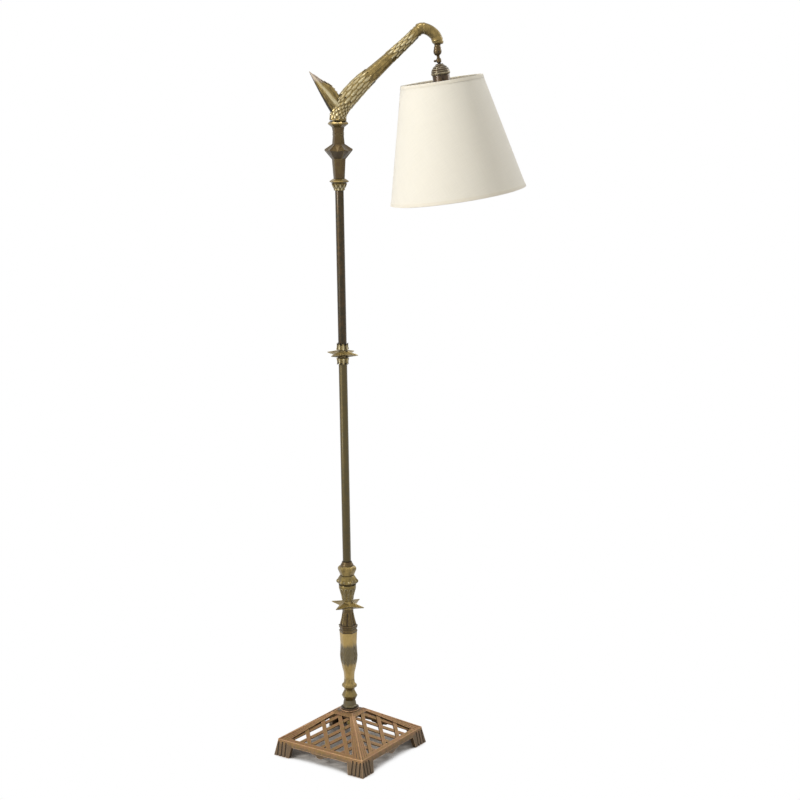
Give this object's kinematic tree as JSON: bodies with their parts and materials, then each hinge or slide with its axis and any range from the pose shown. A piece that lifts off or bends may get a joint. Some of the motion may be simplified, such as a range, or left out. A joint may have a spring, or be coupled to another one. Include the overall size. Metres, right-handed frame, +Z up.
{
  "type": "bridge floor lamp",
  "caption": "Floor lamp on a pierced square foot: stacked metal column, forked swinging arm, and a tilting socket with a tapered fabric shade.",
  "frame": {"origin": "on the floor, at the middle of the whole lamp's outline seen from above; the column axis stands 119.1 mm along -X from it", "axes": "+Z up, +X from the column towards the shade, +Y to the left of that"},
  "size_m": [0.5982, 0.36, 1.6599],
  "materials": {
    "aged_brass": "cast and polished, aged to a warm gold with dark recesses",
    "gilt_brass": "cast, gilt finish worn to grey-green patina in the recesses",
    "dark_brass": "dark brown patina, worn on the edges",
    "copper_patina": "cast, copper-brown patina with olive recesses",
    "brass": "turned, dull",
    "steel": "zinc plated",
    "phenolic": "moulded",
    "paperboard": "pressed board",
    "shade_fabric": "ivory woven fabric on a stiff liner",
    "glass": "frosted",
    "lead_cover": "braided two-core lead"
  },
  "bodies": {
    "stand": {"base_casting": "copper_patina", "base_washer": "steel", "base_lock_nut": "steel", "inlet_bush": "brass", "centre_pipe": "steel", "foot_collar": "dark_brass", "diamond_knob": "aged_brass", "ring_collar": "aged_brass", "baluster": "gilt_brass", "ringed_band": "dark_brass", "ribbed_skirt": "dark_brass", "lower_star": "aged_brass", "fluted_vase": "dark_brass", "boss_ring": "aged_brass", "hex_collar": "aged_brass", "tube_cup": "dark_brass", "lower_tube": "dark_brass", "mid_calyx_lower": "aged_brass", "mid_star": "aged_brass", "mid_calyx_upper": "aged_brass", "upper_tube": "dark_brass", "capital": "aged_brass", "lower_flange": "aged_brass", "tapered_shaft": "dark_brass", "diamond_collar": "dark_brass", "waisted_neck": "dark_brass", "upper_flange": "aged_brass", "neck_lock_nut": "steel", "column_lead": "lead_cover"},
    "arm": {"arm_casting": "aged_brass", "arm_spur": "aged_brass", "arm_pivot_bush": "aged_brass", "swing_screw": "steel", "gooseneck": "aged_brass", "nozzle_cup": "dark_brass", "arm_lead": "lead_cover"},
    "swivel": {"swivel_housing": "dark_brass", "trunnion_screws": "steel"},
    "head": {"swivel_ball": "aged_brass", "stem_collar": "dark_brass", "stem_screw": "dark_brass", "socket_cap": "aged_brass", "beaded_band": "aged_brass", "socket_shell": "dark_brass", "insulating_sleeve": "paperboard", "socket_core": "phenolic", "screw_shell": "aged_brass", "centre_contact": "aged_brass", "terminal_screws": "aged_brass", "fitter_ring": "aged_brass", "fitter_nut": "aged_brass", "shade_spider": "aged_brass", "shade_foot_ring": "aged_brass", "shade_cone": "shade_fabric", "shade_top_hem": "shade_fabric", "shade_foot_hem": "shade_fabric", "bulb_glass": "glass", "bulb_base": "steel", "socket_lead": "lead_cover"},
    "key": {"switch_key": "phenolic"}
  },
  "joints": [
    {"name": "arm_swing", "type": "hinge", "parent": "stand", "child": "arm", "pos_m": [-0.11912, 0, 1.452], "axis": [0, 0, 1], "range_deg": [-170, 170]},
    {"name": "shade_turn", "type": "hinge", "parent": "arm", "child": "swivel", "pos_m": [0.10388, 0, 1.6073], "axis": [0, 0, 1], "range_deg": [-90, 90]},
    {"name": "shade_tilt", "type": "hinge", "parent": "swivel", "child": "head", "pos_m": [0.10388, 0, 1.597], "axis": [0, -1, 0], "range_deg": [-15, 27]},
    {"name": "switch_turn", "type": "hinge", "parent": "head", "child": "key", "pos_m": [0.11335, 0, 1.52966], "axis": [0, -1, 0], "continuous": true}
  ]
}
